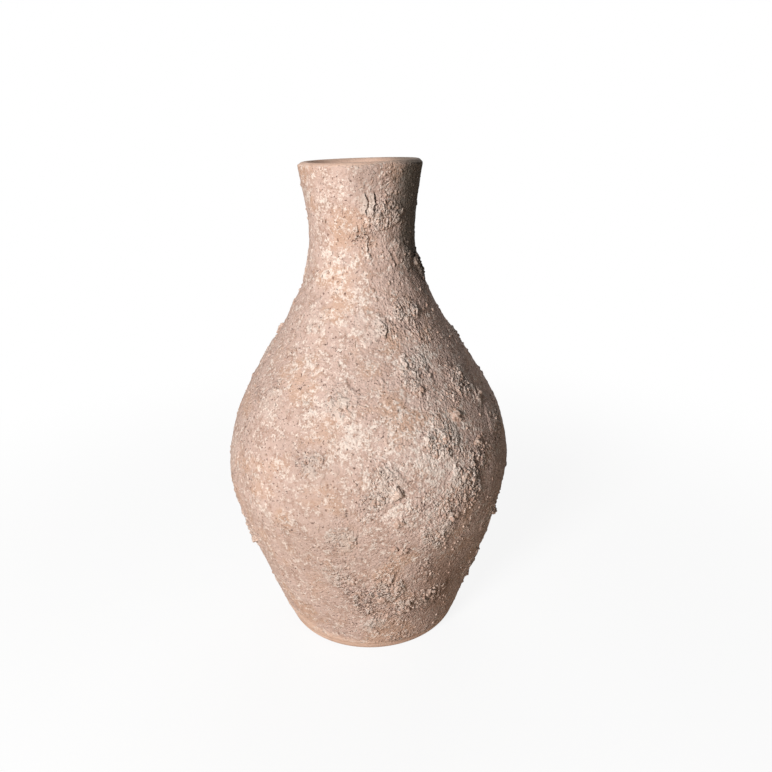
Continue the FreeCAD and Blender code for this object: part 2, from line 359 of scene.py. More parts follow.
for turn_degrees, level_mm, around, climbed in round_the_back(back_dabs, 104.4, 154.8, 40, 280):
    dabs += ((turn_degrees, level_mm, 0.7 + 0.3 * ((3 * around + climbed) % 1), 0.2 + 0.7 * around),)
print("dabs of crust:", len(dabs))

# %% Rough and smooth places of the crust
rough_places = (
    (14, 368, 10, 0.5), (22, 390, 9, 0.9), (25, 200, 16, 0.4), (15, 283, 10, 0.4), (16, 55, 12, 0.8),
    (-6, 72, 16, 0.7), (-12, 92, 12, 0.4), (5, 350, 10, 0.4), (42, 163, 16, 0.4), (0, 170, 12, 0.3),
    (6, 104, 12, 0.4), (24, 100, 12, 0.4), (-2, 58, 10, 0.4), (46, 148, 12, 0.4), (28, 86, 10, 0.3),
    (-2, 350, 9, 0.3), (15, 15, 12, 0.8), (-2, 165, 14, 0.3), (50, 190, 16, 0.5), (75, 326, 12, 0.5),
    (30, 160, 14, 0.5))
smooth_places = (
    (8, 388, 10, 0.7), (28, 342, 11, 0.7), (14, 229, 15, 1.0), (14, 212, 10, 0.6), (47, 212, 11, 0.9),
    (6, 145, 11, 0.4), (-29, 75, 24, 0.6), (-50, 60, 24, 0.7), (68, 20, 24, 0.6), (-45, 300, 24, 0.3),
    (-60, 350, 26, 0.4), (60, 150, 18, 0.3), (75, 270, 24, 0.3), (100, 120, 24, 0.3), (180, 210, 26, 0.4))


def patches(points, places):
    """The sum of soft round patches at their places on the crust."""
    total = np.zeros(points.shape[:-1])
    for turn_degrees, level_mm, reach_mm, amount in places:
        distance = np.linalg.norm(points - on_crust(turn_degrees, level_mm), axis=-1)
        total += amount * np.exp(-(distance / (reach_mm * mm)) ** 2)
    return total


print("rough and smooth places:", len(rough_places), len(smooth_places))

# %% [markdown]
# A few torn edges are so plain in the photograph that they have a place of their own: cracks down the
# neck, the curved edge of a flake under it, and short ridges over the belly. Each is a path from top
# to bottom. The crust swells towards the path from the left and drops sharply on its right, which is
# the side away from the light, so each one casts its own thin shadow. The cracks on that side are also
# painted dark as shade. The swell fades at both ends.

# %% Torn edges at their own places
torn_edges = (
    (1.5, (12, 291), (15, 286), (16, 280), (14, 275)), (1.0, (-38, 284), (-39, 278), (-38, 274)),
    (1.5, (25, 268), (24, 260), (23, 251)), (1.8, (3, 383), (7, 373), (3, 362)),
    (1.7, (13, 383), (13, 373), (12, 363)), (1.6, (20, 367), (19, 361), (14, 361)),
    (1.3, (-4, 358), (-4, 352), (-2, 346)), (1.5, (4, 345), (6, 338), (11, 331)),
    (0.9, (-37, 365), (-38, 356), (-41, 347)), (1.0, (42, 370), (46, 360), (42, 353)),
    (0.9, (38, 346), (45, 339)), (1.1, (12, 211), (10, 207), (7, 205)),
    (1.1, (29, 245), (29, 240), (27, 236)), (1.5, (64, 232), (62, 225), (63, 216)),
    (1.2, (45, 223), (42, 218)), (1.0, (-28, 242), (-29, 237)),
    (1.3, (-6, 241), (-8, 236), (-10, 230), (-8, 228)), (0.9, (9, 255), (10, 249), (9, 244)),
    (1.8, (10, 184), (12, 178), (11, 171), (9, 170)), (1.2, (13, 159), (13, 151), (13, 146)),
    (1.6, (20, 65), (17, 58), (14, 46)), (1.0, (-3, 144), (-6, 134), (-8, 128)),
    (1.0, (-20, 195), (-18, 190), (-19, 184)), (0.9, (-39, 181), (-41, 174)),
    (0.9, (-35, 185), (-34, 180)), (1.0, (31, 301), (32, 293), (34, 287)), (1.1, (48, 296), (50, 288)),
    (1.0, (28, 338), (34, 329), (37, 321)), (1.3, (35, 189), (38, 182)), (1.4, (31, 158), (34, 140)),
    (1.1, (13, 132), (15, 122)), (1.0, (-2, 185), (-2, 179), (-3, 173)), (0.9, (-9, 194), (-11, 187)),
    (1.2, (130, 260), (133, 248), (131, 238)), (1.4, (170, 180), (174, 168), (171, 158)),
    (1.1, (205, 300), (203, 288), (207, 280)), (1.3, (228, 120), (232, 108), (230, 98)),
    (1.2, (150, 372), (152, 362), (149, 352)), (1.2, (250, 220), (254, 208), (252, 198)))
print("torn edges:", len(torn_edges))

# %% The shape of one torn edge
edge_slope = 4.0 * mm
edge_drop = 0.35 * mm
edge_reach = 26.0 * mm
edge_wander = 1.6 * mm
edge_tremble = 1.3 * mm
tremble_grain = 2.2 * mm
edge_gain = 1.3
edge_taper_share = 0.25
crack_middle = 0.6 * mm
crack_half = 0.8 * mm
crack_depth = 0.8 * mm
crack_opening = 0.6


def torn_edge(points, outward, rise_mm, *places):
    """A slow swell on the left of a path, a sharp drop on its right, and the cracks there, which are
    painted dark as shade.
    """
    relief = np.zeros(points.shape[:-1])
    crack_and_shade_mask = np.zeros(points.shape[:-1])
    knots = [on_crust(*place) for place in places]
    lengths = np.linalg.norm(np.diff(knots, axis=0), axis=1)
    near = np.linalg.norm(points - np.mean(knots, axis=0), axis=-1) < edge_reach
    spots, facing = points[near], outward[near]
    nearest = np.full(len(spots), far_away)
    side = np.zeros(len(spots))
    along = np.zeros(len(spots))
    for index, (start, end) in enumerate(zip(knots, knots[1:])):
        run = end - start
        share = np.clip((spots - start) @ run / (run @ run), 0, 1)
        away = spots - start - share[:, None] * run
        distance = np.linalg.norm(away, axis=1)
        beyond = np.sum(np.cross(facing, run / lengths[index]) * away, axis=1)
        closer = distance < nearest
        nearest = np.where(closer, distance, nearest)
        side = np.where(closer, beyond, side)
        along = np.where(closer, lengths[:index].sum() + share * lengths[index], along)
    progress = along / lengths.sum()
    taper = smooth(progress, 0, edge_taper_share) * (1 - smooth(progress, 1 - edge_taper_share, 1))
    slope = np.where(side > 0, edge_drop, edge_slope)
    relief[near] = rise_mm * mm * taper * np.exp(-nearest / slope)
    across = np.where(side > 0, nearest, -nearest)
    open_share = min(1, crack_opening * rise_mm) ** 2
    crack_and_shade_mask[near] = open_share * taper * np.exp(-((across - crack_middle) / crack_half) ** 2)
    return relief, crack_and_shade_mask


print("a torn edge of 1 mm opens by a share of:", crack_opening ** 2)

# %% [markdown]
# Now the relief itself, from large to small. Dabs are low plates with an uneven edge. Lumps, crumbs and
# grit are domes about scattered centres, and gather in clusters where the place is rough. Torn lines
# are the zero lines of a wave, kept only in fragments, and pits are small holes. Lumps and tears are
# read in a space pressed flat, which makes them taller than wide, because the crust was wiped upwards.

# %% Parts of the relief
wipe_start = 270.0 * mm
wipe_squeeze = 0.3
dab_waves = ((5, 13, 34), (2, 4, 35))
dab_flat_share = 0.8


def wiped(points):
    """Space squeezed above the shoulder, so that what is read there comes out drawn upwards."""
    squeezed = points.copy()
    squeezed[..., 2] -= wipe_squeeze * np.clip(points[..., 2] - wipe_start, 0, None)
    return squeezed


def domes(points, grain, seed, width, rare, steep=2):
    """Round crumbs from 0 to 1, as wide as a share of the grain, and rarer as asked."""
    near, share = crumbs(points, grain, seed)
    return np.clip(1 - (near / width) ** steep, 0, 1) * smooth(share, rare, rare + 0.3)


def dab_plates(points, space):
    """One on the dabs of crust and zero between them, with an uneven edge."""
    uneven = layered(space, *dab_waves) * mm
    plates = np.zeros(points.shape[:-1])
    for turn_degrees, level_mm, size, _ in dabs:
        away = np.linalg.norm(points - on_crust(turn_degrees, level_mm), axis=-1) + uneven
        reach = size * dab_reach * mm
        plates = np.maximum(plates, 1 - smooth(away, dab_flat_share * reach, reach))
    return plates


print("reach of the largest dab in mm:", round(max(size for _, _, size, _ in dabs) * dab_reach, 1))

# %% The relief of the crust
bend_grain = 5.0 * mm
bend_reach = 1.2 * mm
press_flat = (1, 1, 0.6)
mood_start = -0.05
mood_waves = ((0.45, 42, 14), (0.45, 17, 15))
dab_rise = 0.8
wash_sink = 0.35
plate_rise = 0.4
tear_rise = 0.9
lump_rise = 1.5
lump_grain = 5.0 * mm
crumb_rise = 1.3
crumb_grain = 3.2 * mm
grit_rise = 0.75
grit_grain = 2.1 * mm
pit_depth = 0.7
pit_grain = 5.0 * mm
skin_waves = ((0.10, 2.4, 22), (0.15, 5, 23))


def crust_relief(points, outward):
    """Height of the crust over its nominal skin in metres, how rough it is, and where it has cracks, which
    are also painted dark as shade.
    """
    space = wiped(points)
    bend = wander(space, bend_grain, 11)
    bent = space + bend_reach * bend
    tall = bent * press_flat
    mood = mood_start + layered(space, *mood_waves)
    mood += patches(points, [(turn, level, size * dab_reach, rough) for turn, level, size, rough in dabs])
    mood += patches(points, rough_places) - patches(points, smooth_places)
    rough = smooth(mood, 0.0, 0.9)
    gather = smooth(waves(bent, 11 * mm, 25) + 0.8 * rough, 0.05, 0.6)
    plates = smooth(waves(tall, 9 * mm, 16), 0.0, 0.08)
    torn = np.clip(1 - np.abs(waves(tall, 6 * mm, 18)) / 0.12, 0, 1)
    torn *= smooth(waves(space, 9 * mm, 19), 0.1, 0.35)
    relief = dab_rise * dab_plates(points, space) - wash_sink
    relief += plate_rise * plates * (0.3 + 0.7 * rough) + tear_rise * torn * rough * gather
    relief += lump_rise * domes(tall, lump_grain, 21, 0.5, 0.3, 3) * rough * gather
    relief += crumb_rise * domes(bent, crumb_grain, 20, 0.55, 0.35) * (0.2 + 0.8 * rough) * gather
    relief += grit_rise * domes(space, grit_grain, 24, 0.55, 0.4) * (0.3 + 0.7 * rough)
    relief -= pit_depth * domes(bent, pit_grain, 27, 0.24, 0.55)
    relief = (relief + layered(space, *skin_waves)) * mm
    crack_and_shade = np.zeros(relief.shape)
    tremble = wander(space, tremble_grain, 28)
    broken = smooth(waves(space, 3.0 * mm, 31), -0.45, 0.15)
    for edge in torn_edges:
        swell, crack_and_shade_mask = torn_edge(points + edge_wander * bend + edge_tremble * tremble, outward, *edge)
        relief += edge_gain * swell * (0.5 + 0.5 * broken)
        crack_and_shade = np.maximum(crack_and_shade, crack_and_shade_mask * broken)
    relief -= crack_depth * crack_and_shade
    return relief, rough, crack_and_shade


print("lumps, crumbs and grit rise by mm:", lump_rise, crumb_rise, grit_rise)

# %% [markdown]
# A mesh from a grid needs only its quads. The grid closes round the jar, and where it is a whole
# section, from the outside over the edge and down the inside, it closes the other way too, so the
# piece is one watertight shell. Numbers that a finish needs, such as how rough a point is, are kept
# on the mesh as attributes.

# %% Turn a grid into a mesh
def new_piece(name, corners, faces, attributes=None):
    """An object from corner places and faces, with a number kept at each corner."""
    mesh = bpy.data.meshes.new(name)
    mesh.from_pydata(corners, [], faces)
    for key, values in (attributes or {}).items():
        layer = mesh.attributes.new(key, "FLOAT", "POINT")
        layer.data.foreach_set("value", np.ravel(values).astype(np.float32))
    mesh.shade_smooth()
    piece = bpy.data.objects.new(name, mesh)
    bpy.context.scene.collection.objects.link(piece)
    print(name, "faces:", len(mesh.polygons))
    return piece


def grid_faces(rows, columns, closed_rows):
    """The squares of a grid that closes round the jar, and from its last row to its first if asked."""
    index = np.arange(rows * columns).reshape(rows, columns)
    low = index if closed_rows else index[:-1]
    high = np.roll(index, -1, axis=0) if closed_rows else index[1:]
    quads = np.stack([low, np.roll(low, -1, axis=1), np.roll(high, -1, axis=1), high], axis=-1)
    return quads.reshape(-1, 4)


print("faces of a grid of 3 rows and 8 columns, open and closed:",
      len(grid_faces(3, 8, False)), len(grid_faces(3, 8, True)))

# %% [markdown]
# The foot and the crown of the lip are bare clay. The crust starts along a wavering hem, higher on the
# left, and frays just under the crown. Each column of the grid runs from its own hem to its own top, so
# the crust is a real shell with a thin ragged edge, and nothing of it lies where the clay is bare.

# %% Hem and top of the crust
hem_levels = ((-180, 12), (-90, 15), (-60, 14), (-45, 11), (-30, 8), (-15, 6), (20, 5), (35, 6), (60, 9),
              (90, 13), (180, 12))
hem_waves = ((2.6, 9, 5), (1.3, 3, 6))
crown_reach = ((-180, 2.2), (-60, 3.4), (-20, 3.4), (4, 3.2), (13, 3.8), (18, 4.8), (30, 5.0), (45, 4.2),
               (60, 3.4), (120, 2.8), (180, 2.2))
top_waves = ((0.7, 6, 7), (0.4, 2, 8))
ring_radius = 90.0 * mm
edge_lift = 0.2 * mm
crown_turn = 1.2
crown_steps = 24
crust_columns = 960

crown_angles = np.linspace(0, crown_turn, crown_steps)[1:]
crown_bend = lip_radius + coat_edge_thickness
crown_arc = np.column_stack([mouth_radius - lip_radius + crown_bend * np.cos(crown_angles),
                             lip_middle + crown_bend * np.sin(crown_angles)])
crust_line = np.vstack([coat_line, crown_arc])
crust_lengths = lengths_along(crust_line)
turn = columns_round(crust_columns)
ring = places_round(ring_radius, turn, 0)
hem = by_turn(turn, hem_levels) + layered(ring, *hem_waves) * mm
hem_along = np.interp(np.maximum(hem, foot_edge_level + edge_lift), coat_line[:, 1],
                      crust_lengths[:len(coat_line)])
top_along = (crust_lengths[len(coat_line) - 1] + by_turn(turn, crown_reach)
             + layered(ring, *top_waves) * mm)
print("hem of the crust, lowest and highest in mm:", np.round([hem.min() / mm, hem.max() / mm], 1))

# %% Grow the crust
thin_levels = ((-180, 30), (-90, 48), (-62, 50), (-45, 38), (-30, 28), (-15, 24), (0, 20), (20, 12),
               (35, 14), (60, 28), (90, 34), (180, 30))
thin_shares = (0.3, 1.1)
thin_top_reach = 5.0 * mm
hem_fade = 6.0 * mm
top_fade = 2.2 * mm
edge_depth = 0.3 * mm
seat_edge = 1.1 * mm
crust_rows = 560
seat_rows = 30


def crust_skin(rows):
    """The crust's nominal skin between its hem and its top."""
    share = np.linspace(0, 1, rows)[:, None]
    along = hem_along + share * (top_along - hem_along)
    return along, *skin(crust_line, along, turn)


def clay_under(level):
    """Thickness of the nominal crust over the clay."""
    return (np.interp(level, coat_line[:, 1], coat_line[:, 0])
            - np.interp(level, clay_line[:, 1], clay_line[:, 0]))


along, points, outward, level = crust_skin(crust_rows)
relief, rough, crack_and_shade = crust_relief(points, outward)
laid = smooth(along - hem_along, 0, hem_fade) * smooth(top_along - along, 0, top_fade)
thin_low, thin_high = (share * by_turn(turn, thin_levels) for share in thin_shares)
thin = 1 - smooth(level, thin_low, thin_high) * smooth(top_along - along, 0, thin_top_reach)
grown = laid * relief - (1 - laid) * (clay_under(level) + edge_depth)
turns = turn + 0 * level
outer_skin = shift(points + outward * grown[..., None], turns, level, hand_swell(points, turns, level))
_, seat, seat_outward, seat_level = crust_skin(seat_rows)
seat_turns = turn + 0 * seat_level
seat_depth = (clay_under(seat_level) + seat_edge)[..., None]
seat_skin = shift(seat - seat_outward * seat_depth, seat_turns, seat_level,
                  hand_swell(seat, seat_turns, seat_level))[::-1]
print("crust relief in mm, low and high:", np.round([relief.min() / mm, relief.max() / mm], 2))

# %% [markdown]
# Lime has dried white in some places and the wash has worn down to tan in others. These places are read
# from the photograph one by one, and kept on the mesh as numbers, so that the finish can lay its flecks
# there. Each place has its turn, its level, its reach in millimetres and its strength.

# %% Lime, tan and the crust's mesh
lime_places = (
    (38, 262, 9, 0.8), (-6, 221, 12, 0.5), (-6, 206, 14, 0.5), (5, 165, 14, 0.45), (-20, 232, 10, 0.6),
    (-42, 375, 8, 0.5), (-18, 383, 10, 0.4), (-27, 324, 16, 0.6), (10, 218, 12, 0.3), (25, 192, 10, 0.5),
    (-24, 168, 18, 0.1), (-54, 61, 14, 0.4), (-8, 300, 20, 0.3), (33, 184, 14, 0.6), (26, 157, 12, 0.6),
    (12, 160, 10, 0.4), (-30, 260, 20, 0.3), (25, 127, 10, 0.4), (160, 200, 30, 0.6), (220, 120, 30, 0.5),
    (18, 206, 24, 0.5), (35, 212, 20, 0.8), (30, 262, 16, 0.4), (18, 160, 14, 0.2), (95, 160, 30, 0.4))
tan_places = (
    (-14, 291, 16, 0.9), (13, 229, 12, 0.9), (14, 213, 10, 0.8), (-34, 144, 16, 0.9), (-43, 96, 12, 0.9),
    (-58, 170, 22, 0.6), (-61, 370, 14, 0.6), (-16, 350, 14, 0.7), (18, 68, 12, 0.7), (12, 22, 26, 0.8),
    (-12, 300, 12, 0.4), (62, 80, 24, 0.6), (150, 90, 30, 0.6), (200, 320, 24, 0.6), (-40, 30, 24, 0.5))
crust_numbers = {"rough": rough, "rise": relief / mm, "crack_and_shade": crack_and_shade, "thin": thin,
                 "lime": patches(points, lime_places), "tanned": patches(points, tan_places)}
seat_zeros = np.zeros(seat_skin.shape[:2])
crust = new_piece(
    "crust", np.concatenate([outer_skin, seat_skin]).reshape(-1, 3),
    grid_faces(crust_rows + seat_rows, crust_columns, True),
    {key: np.concatenate([values, seat_zeros]) for key, values in crust_numbers.items()})

# %% [markdown]
# The larger grit does not belong to the skin: lumps sit on it, with their own undersides and shadows.
# A ball is squashed, bent by noise and pressed into the crust. Clods are small heaps of such lumps at
# known places, and crumbs and shards are strewn where the crust is rough. Round the back the clods
# climb the wall by the golden turn, so they spread evenly and never line up.

# %% Lumps to stick on
def ball(splits):
    """Corners and faces of a round ball of radius one."""
    shape = bmesh.new()
    bmesh.ops.create_icosphere(shape, subdivisions=splits, radius=1)
    corners = np.array([corner.co[:] for corner in shape.verts])
    faces = np.array([[corner.index for corner in face.verts] for face in shape.faces])
    shape.free()
    return corners, faces


def lumps(splits, seats, facing, spin, half_sizes, crag, crag_grain, seed):
    """Balls squashed to half sizes along, across and out of the wall, turned by a spin and made craggy."""
    corners, faces = ball(splits)
    level_way = np.cross([0, 0, 1], facing)
    level_way /= np.linalg.norm(level_way, axis=1)[:, None]
    climb = np.cross(facing, level_way)
    cos, sin = np.cos(spin)[:, None], np.sin(spin)[:, None]
    axes = np.stack([cos * level_way + sin * climb, cos * climb - sin * level_way, facing], axis=1)
    places = np.einsum("kj,nj,nji->nki", corners, half_sizes, axes) + seats[:, None, :]
    swell = 1 + crag * waves(places, crag_grain, seed)
    places = seats[:, None, :] + (places - seats[:, None, :]) * swell[..., None]
    starts = np.arange(len(seats)) * len(corners)
    return places.reshape(-1, 3), (faces[None] + starts[:, None, None]).reshape(-1, 3), len(corners)


print("corners of a lump, fine and plain:", len(ball(3)[0]), len(ball(2)[0]))

# %% Places of the clods
clod_places = (
    (11.5, 176, 1.00), (34, 147, 0.95), (13, 153, 0.60), (13, 127, 0.85), (-6, 137, 0.60), (-7.5, 94, 0.75),
    (10, 83, 1.15), (6, 71, 1.0), (17, 54, 1.1), (30, 69, 0.75), (2, 29, 0.70), (65, 124, 1.1),
    (61, 81, 0.9), (67, 51, 0.95), (-67, 121, 0.65), (-61, 102, 1.2), (43, 219, 0.9), (63, 222, 1.05),
    (50, 196, 0.8), (32, 208, 0.7), (41, 178, 0.85), (77, 326, 1.1), (-8, 233, 0.6), (28, 241, 0.65))
back_clods = 26
heap = 6
heap_spread = 2.2 * mm
heap_spread_rows = 2.2
clear_rows = 3

draw = np.random.default_rng(7)
for turn_degrees, level_mm, around, climbed in round_the_back(back_clods, 97, 173, 28, 284):
    clod_places += ((turn_degrees, level_mm, 0.6 + 0.5 * ((2 * around + climbed) % 1)),)
clod_turn, clod_level, clod_size = np.transpose(clod_places)
clod_column = np.round((clod_turn + 180) / 360 * crust_columns).astype(int) % crust_columns
clod_row = np.array([np.abs(level[:, column] - height_mm * mm).argmin()
                     for column, height_mm in zip(clod_column, clod_level)])
bulk = len(clod_places) * heap
heap_rise = np.round(draw.normal(0, heap_spread_rows, bulk))
heap_row = np.repeat(clod_row, heap) + heap_rise
heap_row = np.clip(heap_row, clear_rows, crust_rows - 1 - clear_rows).astype(int)
heap_size = np.repeat(clod_size, heap) * draw.uniform(0.45, 1.0, bulk)
heap_girth = 2 * math.pi * np.hypot(*points[heap_row, 0, :2].T)
heap_aside = np.round(draw.normal(0, 1, bulk) * heap_spread * crust_columns / heap_girth)
heap_column = (np.repeat(clod_column, heap) + heap_aside).astype(int) % crust_columns
print("clods:", len(clod_places), "lumps in them:", bulk)

# %% Crumbs and shards, and the mesh of all lumps
clod_radius = 3.0
crumb_count = 1800
crumb_sizes = (0.5, 1.3)
crumb_lengths = (0.8, 1.5)
shard_count = 600
shard_sizes = (0.45, 0.8)
shard_lengths = (2.0, 4.5)
shard_sway = 0.6
standing_shares = (0.55, 0.95)
strewn_floor = 0.06
heap_crag = (0.55, 1.8 * mm, 41)
grit_crag = (0.45, 1.0 * mm, 42)

weight = (rough ** 2 + strewn_floor) * laid * np.hypot(points[..., 0], points[..., 1])
weight[:clear_rows] = 0
weight[-2 * clear_rows:] = 0
chance = np.ravel(weight / weight.sum())
strewn = draw.choice(rough.size, crumb_count + shard_count, replace=False, p=chance)
rows = np.concatenate([heap_row, strewn // crust_columns])
cols = np.concatenate([heap_column, strewn % crust_columns])
seats, facing = outer_skin[rows, cols], outward[rows, cols]
count = len(rows)
size = np.concatenate([clod_radius * heap_size, draw.uniform(*crumb_sizes, crumb_count),
                       draw.uniform(*shard_sizes, shard_count)]) * mm
long = np.concatenate([draw.uniform(*crumb_lengths, bulk + crumb_count),
                       draw.uniform(*shard_lengths, shard_count)])
half_sizes = np.column_stack([size * long, size, size * draw.uniform(*standing_shares, count)])
spin = draw.uniform(0, math.pi, count)
spin[-shard_count:] = math.pi / 2 + draw.normal(0, shard_sway, shard_count)
heaps = lumps(3, seats[:bulk], facing[:bulk], spin[:bulk], half_sizes[:bulk], *heap_crag)
grit = lumps(2, seats[bulk:], facing[bulk:], spin[bulk:], half_sizes[bulk:], *grit_crag)
tone = np.concatenate([np.repeat(draw.random(bulk), heaps[2]),
                       np.repeat(draw.random(count - bulk), grit[2])])
clods = new_piece("clods", np.vstack([heaps[0], grit[0]]), np.vstack([heaps[1], grit[1] + len(heaps[0])]),
                  {"tone": tone})

# %% [markdown]
# The clay itself is a slab, seven belts and a rolled lip. Each was laid on the one below with slip
# between them, on a slanting scored joint. A belt is drawn as a closed loop in section: up the outside,
# in along the joint above, down the inside and out along the joint below. The same loop, less than a
# millimetre high, gives the layer of slip.

# %% Joints of the wall
slip_thickness = 0.8 * mm
bevel_share = 0.4
lip_roll_height = 18.0 * mm
low_joint_shares = (0.28, 0.64, 1.0)
high_joint_shares = (0.28, 0.57, 0.86)
belt_names = ("foot_belt", "lower_belt", "belly_belt", "upper_belt", "shoulder_belt", "collar_belt",
              "neck_belt")
slip_names = ("base_slip", "foot_slip", "lower_slip", "belly_slip", "upper_slip", "shoulder_slip",
              "collar_slip", "neck_slip")


def crossing(line, start, way):
    """Where a straight cut crosses a skin of the wall nearest to its start."""
    offset = line - start
    side = offset[:, 0] * way[1] - offset[:, 1] * way[0]
    steps = np.nonzero(side[:-1] * side[1:] <= 0)[0]
    share = (side[steps] / (side[steps] - side[steps + 1]))[:, None]
    places = line[steps] * (1 - share) + line[steps + 1] * share
    return places[np.linalg.norm(places - start, axis=1).argmin()]


def joint_at(level, flat=False):
    """The lower and the upper side of a slip layer, each from the outside of the wall to its inside."""
    outside = np.array([np.interp(level, clay_line[:, 1], clay_line[:, 0]), level])
    probe = np.interp([level - mm, level + mm], clay_line[:, 1], clay_line[:, 0])
    lean = (probe[1] - probe[0]) / (2 * mm)
    along = np.array([0.0, 1.0]) if flat else np.array([lean, 1.0]) / math.hypot(lean, 1)
    way = np.array([-1.0, 0.0 if flat else lean + bevel_share])
    return [(crossing(clay_line, start, way), crossing(inside_line, start, way))
            for start in (outside, outside + along * slip_thickness)]


def stretch(line, start, end, spacing):
    """The part of a skin between two of its points, at even distances."""
    low, high = sorted((start[1], end[1]))
    inner = line[(line[:, 1] > low) & (line[:, 1] < high)]
    part = np.vstack([start, inner if start[1] < end[1] else inner[::-1], end])
    return even(part, spacing)


wall_levels = [base_thickness + share * (belly_height - base_thickness) for share in low_joint_shares]
wall_levels += [belly_height + share * (neck_height - belly_height) for share in high_joint_shares]
wall_levels.append(height - lip_roll_height)
joints = [joint_at(base_thickness, flat=True)] + [joint_at(level) for level in wall_levels]
print("joints on the outside in mm:", [round(joint[0][0][1] / mm, 1) for joint in joints])

# %% Belts, slip and lip
belt_columns = 300
belt_spacing = 2.5 * mm
joint_steps = 4
loop_depths = ((0, 0), (0, 1), (1, 1), (1, 0))
sharp_angle = math.radians(40)


def ring_piece(name, *stretches):
    """A ring from its loop in section. Depth zero follows the outside's swell, and one the inside's."""
    loop = np.vstack([part[:-1] for part in stretches])
    depth = np.concatenate([np.linspace(*ends, len(part))[:-1]
                            for part, ends in zip(stretches, loop_depths)])
    turn = columns_round(belt_columns)
    level = loop[:, 1:] + 0 * turn
    points = places_round(loop[:, :1], turn, level)
    turns = turn + 0 * level
    inside = depth[:, None]
    sideways = (1 - inside) * hand_swell(points, turns, level) + inside * finger_marks(points, level)
    corners = shift(points, turns, level, sideways)
    piece = new_piece(name + "_formed", corners.reshape(-1, 3), grid_faces(len(loop), belt_columns, True))
    piece.data.set_sharp_from_angle(angle=sharp_angle)
    return piece


def ring_between(name, below, above, spacing):
    """A belt or a slip layer between two cuts through the wall."""
    return ring_piece(name, stretch(clay_line, below[0], above[0], spacing),
                      np.linspace(above[0], above[1], joint_steps),
                      stretch(inside_line, above[1], below[1], spacing),
                      np.linspace(below[1], below[0], joint_steps))


belts = {}
slips = {}
for name, below, above in zip(belt_names, joints, joints[1:]):
    belts[name] = ring_between(name, below[1], above[0], belt_spacing)
for name, joint in zip(slip_names, joints):
    slips[name] = ring_between(name, joint[0], joint[1], belt_spacing)

lip_spacing = 1.0 * mm
lip_steps = 25
lip_joint = joints[-1][1]
lip_angles = np.linspace(0, math.pi, lip_steps)[:, None]
lip_arc = np.hstack([mouth_radius - lip_radius + lip_radius * np.cos(lip_angles),
                     lip_middle + lip_radius * np.sin(lip_angles)])
belts["lip_roll"] = ring_piece(
    "lip_roll", stretch(clay_line, lip_joint[0], clay_line[-1], lip_spacing), lip_arc,
    stretch(inside_line, inside_line[-1], lip_joint[1], lip_spacing),
    np.linspace(lip_joint[1], lip_joint[0], joint_steps))

# %% [markdown]
# The slab is the one clay piece that is not a ring. Its skin runs from the middle of the underside out
# to the rounded edge and back over the top, and a small flat face closes each end.

# %% Base slab
slab_columns = 240
slab_spacing = 3.0 * mm
slab_eye = 2.0 * mm
edge_steps = 18
wear_depth = 0.25 * mm
wear_grain = 14.0 * mm
wear_reach = 0.1 * mm

edge_centre = foot_radius - foot_edge_round * math.cos(foot_lean_angle)
edge_angles = np.linspace(-math.pi / 2, -foot_lean_angle, edge_steps)[:, None]
slab_edge = np.hstack([edge_centre + foot_edge_round * np.cos(edge_angles),
                       foot_edge_round * (1 + np.sin(edge_angles))])
slab_top = joints[0][0][0]
slab_line = np.vstack([
    even(np.array([(slab_eye, 0.0), (edge_centre, 0.0)]), slab_spacing)[:-1], slab_edge,
    stretch(clay_line, clay_line[0], slab_top, mm)[1:],
    even(np.array([slab_top, (slab_eye, slab_top[1])]), slab_spacing)[1:]])
turn = columns_round(slab_columns)
level = slab_line[:, 1:] + 0 * turn
slab_points = places_round(slab_line[:, :1], turn, level)
slab_points[..., 2] += wear_depth * np.abs(waves(slab_points, wear_grain, 9)) * (level < wear_reach)
slab_faces = grid_faces(len(slab_line), slab_columns, False).tolist()
slab_faces.append(list(range(slab_columns))[::-1])
slab_faces.append(list(range((len(slab_line) - 1) * slab_columns, len(slab_line) * slab_columns)))
base_slab = new_piece("base_slab_formed", slab_points.reshape(-1, 3), slab_faces)
base_slab.data.set_sharp_from_angle(angle=sharp_angle)

# %% [markdown]
# Materials are sums, so they are written as sums. A small class holds a node tree and one of its
# sockets. Adding, multiplying or subtracting such sockets puts the right node into the tree, and every
# other node comes from one method that takes its kind, its settings and the values of its sockets.

# %% Shader sums
class Wire:
    """A node tree with one of its sockets, which can stand in a Python sum."""

    def __init__(self, tree, socket=None):
        self.tree = tree
        self.socket = socket

    def add(self, kind, settings, sockets, output=0):
        """A new node, its settings first, then the values or links of its sockets."""
        node = self.tree.nodes.new(kind)
        for key, value in settings.items():
            setattr(node, key, value)
        for key, value in sockets.items():
            if isinstance(value, Wire):
                self.tree.links.new(value.socket, node.inputs[key])
            else:
                node.inputs[key].default_value = value
        return Wire(self.tree, node.outputs[output] if len(node.outputs) else None)

    def sum(self, operation, first, second):
        """A Math node for numbers, or a Vector Math node where a colour or a vector takes part."""
        parts = (first, second)
        kinds = {part.socket.type for part in parts if isinstance(part, Wire)}
        if kinds & {"VECTOR", "RGBA"}:
            parts = [part if isinstance(part, (Wire, tuple)) else (part,) * 3 for part in parts]
            return self.add("ShaderNodeVectorMath", {"operation": operation}, dict(enumerate(parts)))
        return self.add("ShaderNodeMath", {"operation": operation}, dict(enumerate(parts)))

    def __add__(self, other):
        return self.sum("ADD", self, other)

    def __mul__(self, other):
        return self.sum("MULTIPLY", self, other)

    def __sub__(self, other):
        return self.sum("SUBTRACT", self, other)

    def __rsub__(self, other):
        return self.sum("SUBTRACT", other, self)

    __radd__ = __add__
    __rmul__ = __mul__


# %% [markdown]
# A few helpers read like a potter's words: a paint is a colour as seen on a screen, a step turns noise
# into patches, and a mix lays one colour over another. Grain is given in millimetres, as it would be
# measured on the jar.

